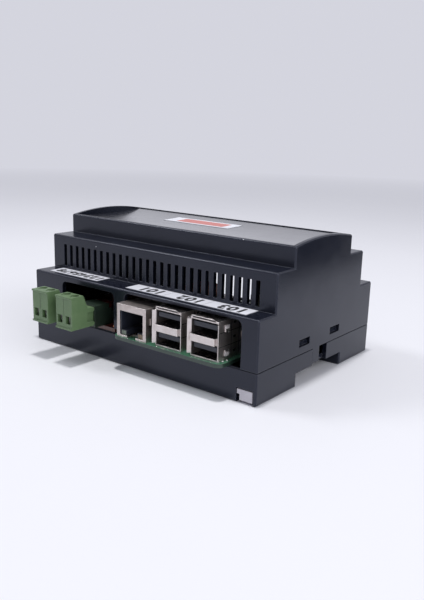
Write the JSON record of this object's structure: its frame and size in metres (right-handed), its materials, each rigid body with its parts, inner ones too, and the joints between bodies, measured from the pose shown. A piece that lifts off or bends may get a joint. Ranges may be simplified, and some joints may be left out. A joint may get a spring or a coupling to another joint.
{
  "type": "single board computer",
  "caption": "Single board computer in a stepped DIN-rail housing, with front-facing sockets, pull-off screw terminals and a sprung rail clip.",
  "frame": {"origin": "middle of the flat underside of the base that bears on the rail's lips", "axes": "+X along the housing, -Y towards the sockets and terminals, +Z away from the rail"},
  "size_m": [0.125, 0.107, 0.0589],
  "materials": {
    "housing_black": "semi-gloss moulded ABS, slightly scuffed edges",
    "panel_gloss": "polished plastic panel",
    "label_white": "satin label film with printed plain marks",
    "clip_grey": "moulded nylon",
    "board_green": "solder mask over glass-epoxy laminate",
    "board_red": "solder mask over glass-epoxy laminate",
    "screw_steel": "zinc-plated",
    "cage_steel": "tinned steel",
    "nickel_shell": "nickel-plated sheet",
    "insert_black": "black glass-filled plastic",
    "contact_gold": "gold flash",
    "contact_tin": "tinned",
    "light_lens": "moulded light pipe",
    "chip_black": "moulded epoxy",
    "flex_cream": "cream nylon with a dark latch",
    "relay_orange": "moulded cover",
    "can_blue": "sleeved can",
    "fuse_red": "moulded fuse body",
    "ribbon_red": "flat ribbon with a red edge wire",
    "terminal_green": "moulded polyamide"
  },
  "bodies": {
    "housing": {"audio_jack": "insert_black", "base_shell": "housing_black", "blade_fuse": "fuse_red", "board_screws": "screw_steel", "camera_connector": "flex_cream", "card_socket": "nickel_shell", "display_connector": "flex_cream", "field_chips": "chip_black", "header_pins": "contact_gold", "interface_board": "board_red", "interface_screws": "screw_steel", "left_label": "label_white", "link_ribbon": "ribbon_red", "main_board": "board_green", "memory_card": "insert_black", "network_jack_contacts": "contact_gold", "network_jack_insert": "insert_black", "network_jack_lights": "light_lens", "network_jack_shield": "nickel_shell", "pin_header": "insert_black", "port_stack_1_contacts": "contact_gold", "port_stack_1_insert": "insert_black", "port_stack_1_shell": "nickel_shell", "port_stack_2_contacts": "contact_gold", "port_stack_2_insert": "insert_black", "port_stack_2_shell": "nickel_shell", "power_choke": "chip_black", "power_socket": "nickel_shell", "processor": "chip_black", "ribbon_sockets": "insert_black", "right_label": "label_white", "storage_capacitor": "can_blue", "support_chips": "chip_black", "switch_relay": "relay_orange", "terminal_header_a": "terminal_green", "terminal_header_b": "terminal_green", "terminal_pins_a": "contact_tin", "terminal_pins_b": "contact_tin", "top_label": "label_white", "top_panel": "panel_gloss", "upper_cover": "housing_black", "video_socket": "nickel_shell"},
    "rail_clip": {"rail_clip": "clip_grey"},
    "plug_a": {"plug_body_a": "terminal_green", "plug_contacts_a": "contact_tin"},
    "clamp_screw_a1": {"clamp_screw_a1": "screw_steel"},
    "clamp_cage_a1": {"clamp_cage_a1": "cage_steel"},
    "clamp_screw_a2": {"clamp_screw_a2": "screw_steel"},
    "clamp_cage_a2": {"clamp_cage_a2": "cage_steel"},
    "plug_b": {"plug_body_b": "terminal_green", "plug_contacts_b": "contact_tin"},
    "clamp_screw_b1": {"clamp_screw_b1": "screw_steel"},
    "clamp_cage_b1": {"clamp_cage_b1": "cage_steel"},
    "clamp_screw_b2": {"clamp_screw_b2": "screw_steel"},
    "clamp_cage_b2": {"clamp_cage_b2": "cage_steel"}
  },
  "joints": [
    {"name": "clip_slide", "type": "slide", "parent": "housing", "child": "rail_clip", "axis": [0, -1, 0], "range_m": [0, 0.004], "stiffness_N_per_m": 600, "springref_m": -0.002},
    {"name": "plug_a_slide", "type": "slide", "parent": "housing", "child": "plug_a", "axis": [0, -1, 0], "range_m": [0, 0.012]},
    {"name": "screw_a1_turn", "type": "hinge", "parent": "plug_a", "child": "clamp_screw_a1", "pos_m": [-0.04116, -0.0575, 0.0209], "axis": [0, 0, -1], "range_deg": [0, 1800]},
    {"name": "cage_a1_rise", "type": "slide", "parent": "plug_a", "child": "clamp_cage_a1", "axis": [0, 0, 1], "range_m": [0, 0.0025]},
    {"name": "screw_a2_turn", "type": "hinge", "parent": "plug_a", "child": "clamp_screw_a2", "pos_m": [-0.03608, -0.0575, 0.0209], "axis": [0, 0, -1], "range_deg": [0, 1800]},
    {"name": "cage_a2_rise", "type": "slide", "parent": "plug_a", "child": "clamp_cage_a2", "axis": [0, 0, 1], "range_m": [0, 0.0025]},
    {"name": "plug_b_slide", "type": "slide", "parent": "housing", "child": "plug_b", "axis": [0, -1, 0], "range_m": [0, 0.012]},
    {"name": "screw_b1_turn", "type": "hinge", "parent": "plug_b", "child": "clamp_screw_b1", "pos_m": [-0.02592, -0.0575, 0.0209], "axis": [0, 0, -1], "range_deg": [0, 1800]},
    {"name": "cage_b1_rise", "type": "slide", "parent": "plug_b", "child": "clamp_cage_b1", "axis": [0, 0, 1], "range_m": [0, 0.0025]},
    {"name": "screw_b2_turn", "type": "hinge", "parent": "plug_b", "child": "clamp_screw_b2", "pos_m": [-0.02084, -0.0575, 0.0209], "axis": [0, 0, -1], "range_deg": [0, 1800]},
    {"name": "cage_b2_rise", "type": "slide", "parent": "plug_b", "child": "clamp_cage_b2", "axis": [0, 0, 1], "range_m": [0, 0.0025]}
  ],
  "couplings": [
    {"joint": "screw_a1_turn", "follows": "cage_a1_rise", "rad_per_m": 12566},
    {"joint": "screw_a2_turn", "follows": "cage_a2_rise", "rad_per_m": 12566},
    {"joint": "screw_b1_turn", "follows": "cage_b1_rise", "rad_per_m": 12566},
    {"joint": "screw_b2_turn", "follows": "cage_b2_rise", "rad_per_m": 12566}
  ]
}
